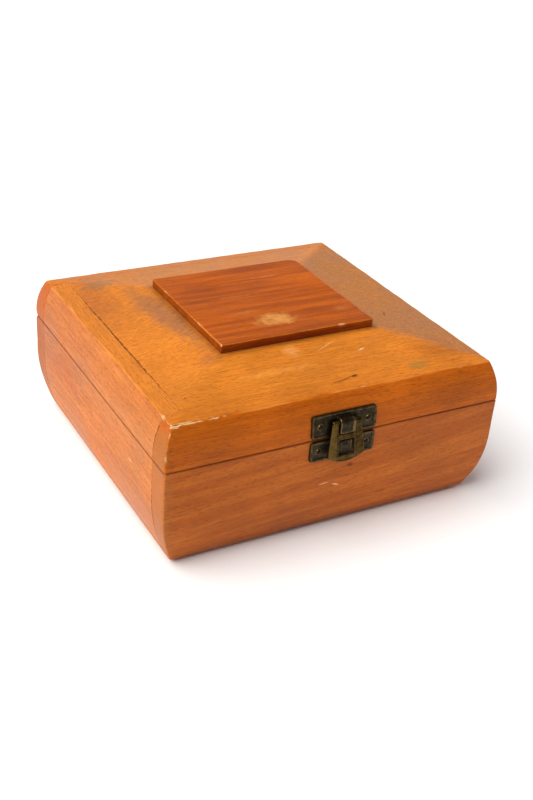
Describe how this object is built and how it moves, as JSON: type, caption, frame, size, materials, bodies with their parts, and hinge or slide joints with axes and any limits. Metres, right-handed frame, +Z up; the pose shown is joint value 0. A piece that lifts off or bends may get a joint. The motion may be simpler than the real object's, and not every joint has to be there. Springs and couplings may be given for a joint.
{
  "type": "fountain pen case",
  "caption": "Square hinged wooden case with bowed sides, a hipped lid with a raised plaque, a brass hasp latch and a velvet pen bed with channels.",
  "frame": {"origin": "centre of the underside, on the surface the case stands on", "axes": "+X to the right, +Y back to the hinges, +Z up; the latch is on the -Y side"},
  "size_m": [0.18, 0.1771, 0.0871],
  "materials": {
    "front_wood": "honey-stained beech, worn varnish",
    "side_wood": "honey-stained beech, worn varnish",
    "top_wood": "honey-stained beech, worn varnish",
    "plaque_wood": "red-brown stained beech, worn varnish",
    "inner_wood": "bare sanded wood",
    "velvet": "cotton velvet",
    "aged_brass": "dark patina, rubbed bright on the edges",
    "hinge_brass": "dull brass",
    "bright_brass": "dull brass"
  },
  "bodies": {
    "base": {"base_front": "front_wood", "base_back": "front_wood", "base_left": "side_wood", "base_right": "side_wood", "base_bottom": "side_wood", "bed_bearer_left": "inner_wood", "bed_bearer_middle": "inner_wood", "bed_bearer_right": "inner_wood", "bed_board": "inner_wood", "bed_velvet": "velvet", "pen_ridges_left": "velvet", "pen_ridges_right": "velvet", "base_lining_front": "velvet", "base_lining_back": "velvet", "base_lining_left": "velvet", "base_lining_right": "velvet", "catch_plate": "aged_brass", "catch_nails": "aged_brass", "hinge_base_leaf_left": "hinge_brass", "hinge_base_leaf_right": "hinge_brass", "hinge_pin_left": "bright_brass", "hinge_pin_right": "bright_brass", "hinge_base_screws": "bright_brass"},
    "lid": {"lid_front": "front_wood", "lid_back": "front_wood", "lid_left": "side_wood", "lid_right": "side_wood", "lid_top": "top_wood", "lid_plaque": "plaque_wood", "lid_lining_front": "velvet", "lid_lining_back": "velvet", "lid_lining_left": "velvet", "lid_lining_right": "velvet", "lid_pad_card": "inner_wood", "lid_pad": "velvet", "hasp_plate": "aged_brass", "hasp_nails": "aged_brass", "hinge_lid_leaf_left": "hinge_brass", "hinge_lid_leaf_right": "hinge_brass", "hinge_lid_screws": "bright_brass"},
    "hasp": {"hasp": "aged_brass"}
  },
  "joints": [
    {"name": "lid_hinge", "type": "hinge", "parent": "base", "child": "lid", "pos_m": [0, 0.0838, 0.055], "axis": [-1, 0, 0], "range_deg": [0, 99]},
    {"name": "hasp_hinge", "type": "hinge", "parent": "lid", "child": "hasp", "pos_m": [0, -0.0883, 0.0636], "axis": [-1, 0, 0], "range_deg": [-6, 150]}
  ]
}
